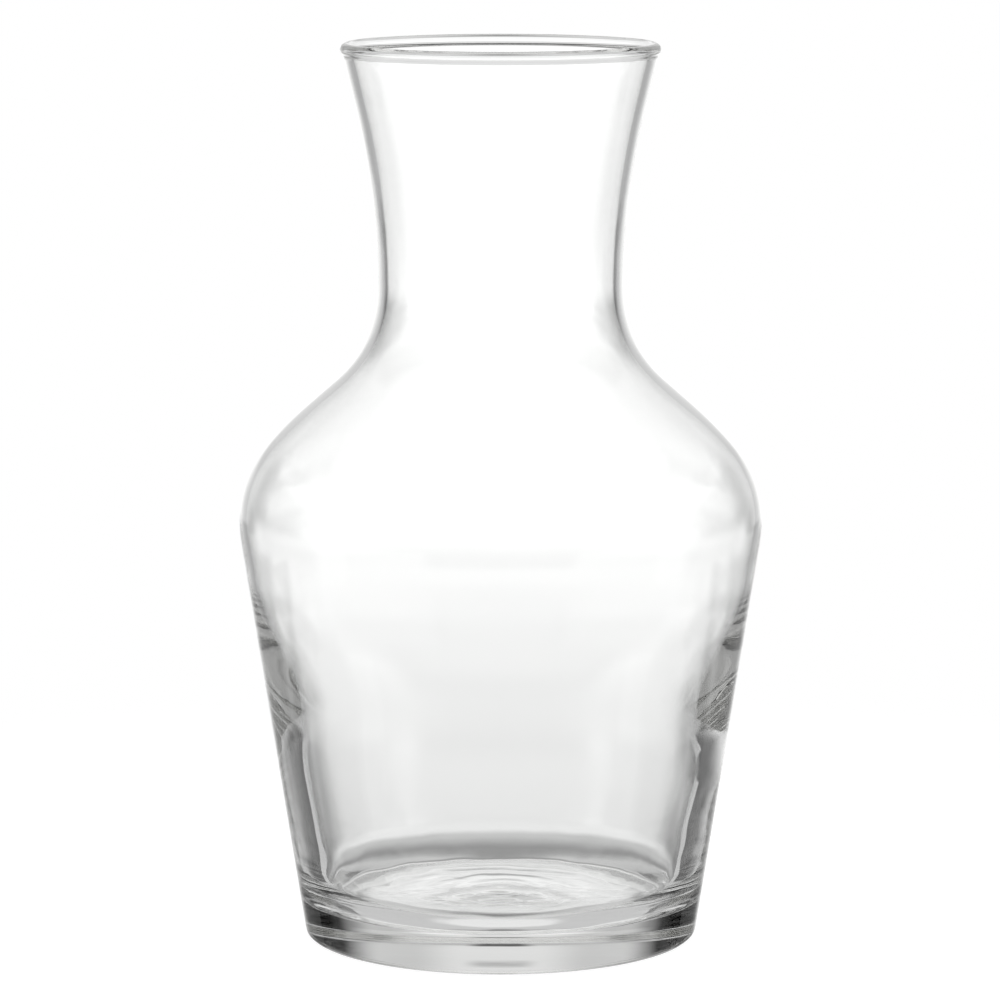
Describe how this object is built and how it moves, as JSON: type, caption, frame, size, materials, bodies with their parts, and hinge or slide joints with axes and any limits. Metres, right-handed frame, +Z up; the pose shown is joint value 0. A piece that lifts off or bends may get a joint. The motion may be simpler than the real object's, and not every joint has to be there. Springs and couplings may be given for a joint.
{
  "type": "wine carafe",
  "caption": "Clear moulded glass wine carafe with a heavy tapered body, sloping shoulder, waisted neck and beaded flared lip.",
  "frame": {"origin": "centre of the base, on the plane of the table that the carafe stands on", "axes": "+Z up along the carafe's axis, towards the mouth; the glass is round, so +X and +Y are free"},
  "size_m": [0.12, 0.12, 0.206],
  "materials": {
    "clear_glass": "clear, colourless, fire-polished soda-lime glass"
  },
  "bodies": {
    "root": {"glass_body": "clear_glass"}
  },
  "joints": []
}
